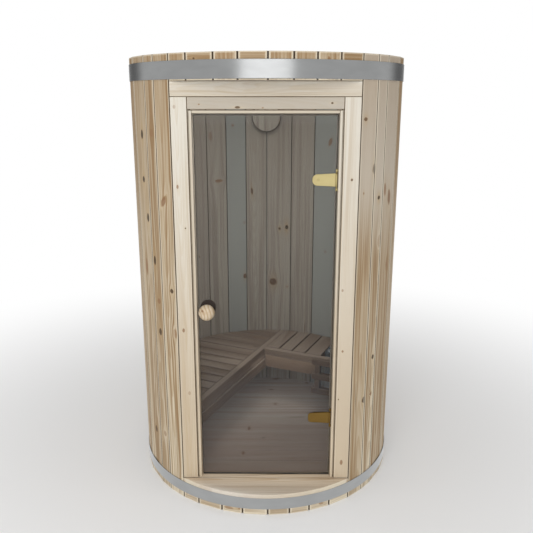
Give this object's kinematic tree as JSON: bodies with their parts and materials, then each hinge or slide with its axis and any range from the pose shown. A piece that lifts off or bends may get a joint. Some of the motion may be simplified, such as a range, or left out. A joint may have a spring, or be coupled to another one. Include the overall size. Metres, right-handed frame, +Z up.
{
  "type": "indoor barrel sauna cabin",
  "caption": "Upright round sauna cabin of timber staves and steel bands, with a flat timber front, a glass door on hinges, a corner bench and a guarded heater.",
  "frame": {"origin": "centre of the round footprint, on the floor that the cabin stands on", "axes": "+Z up, -Y towards the door front, +X to the right when facing the door"},
  "size_m": [1.2998, 1.3, 2.05],
  "materials": {
    "stave_spruce": "planed spruce, unvarnished, vertical grain with brown streaks and knots",
    "frame_spruce": "planed pale spruce, unvarnished",
    "deck_spruce": "planed spruce boards with knots",
    "bench_wood": "sanded hardwood slats, unvarnished",
    "bearer_wood": "sawn softwood",
    "dark_wood": "turned and dark stained",
    "band_steel": "brushed stainless strip",
    "heater_steel": "folded stainless sheet",
    "stones": "rough split grey stone",
    "hinge_brass": "satin brass",
    "door_glass": "grey-bronze tinted, polished"
  },
  "bodies": {
    "cabin": {"back_staves": "stave_spruce", "left_rear_staves": "stave_spruce", "left_front_staves": "stave_spruce", "right_front_staves": "stave_spruce", "right_rear_staves": "stave_spruce", "front_top_staves": "stave_spruce", "front_bottom_staves": "stave_spruce", "top_band": "band_steel", "bottom_band": "band_steel", "roof_deck": "deck_spruce", "floor_deck": "deck_spruce", "floor_bearers": "bearer_wood", "sill_board": "deck_spruce", "left_jamb": "frame_spruce", "right_jamb": "frame_spruce", "head_rail": "frame_spruce", "header_board": "frame_spruce", "left_lining": "frame_spruce", "right_lining": "frame_spruce", "top_lining": "frame_spruce", "door_stops": "frame_spruce", "left_bench_slats": "bench_wood", "left_bench_rail": "bench_wood", "left_bench_board": "bench_wood", "left_bench_bearers": "bearer_wood", "right_bench_slats": "bench_wood", "right_bench_rail": "bench_wood", "right_bench_board": "bench_wood", "right_bench_bearers": "bearer_wood", "guard_rails": "bench_wood", "guard_blocks": "bench_wood", "heater_body": "heater_steel", "heater_stones": "stones", "heater_legs": "heater_steel", "vent_disc": "frame_spruce", "upper_hinge_pin": "hinge_brass", "lower_hinge_pin": "hinge_brass"},
    "door": {"door_glass": "door_glass", "upper_hinge_plate": "hinge_brass", "lower_hinge_plate": "hinge_brass", "outer_knob": "frame_spruce", "inner_knob": "dark_wood"}
  },
  "joints": [
    {"name": "door_hinge", "type": "hinge", "parent": "cabin", "child": "door", "pos_m": [0.30243, -0.48672, 0.95], "axis": [0, 0, 1], "range_deg": [0, 100]}
  ]
}
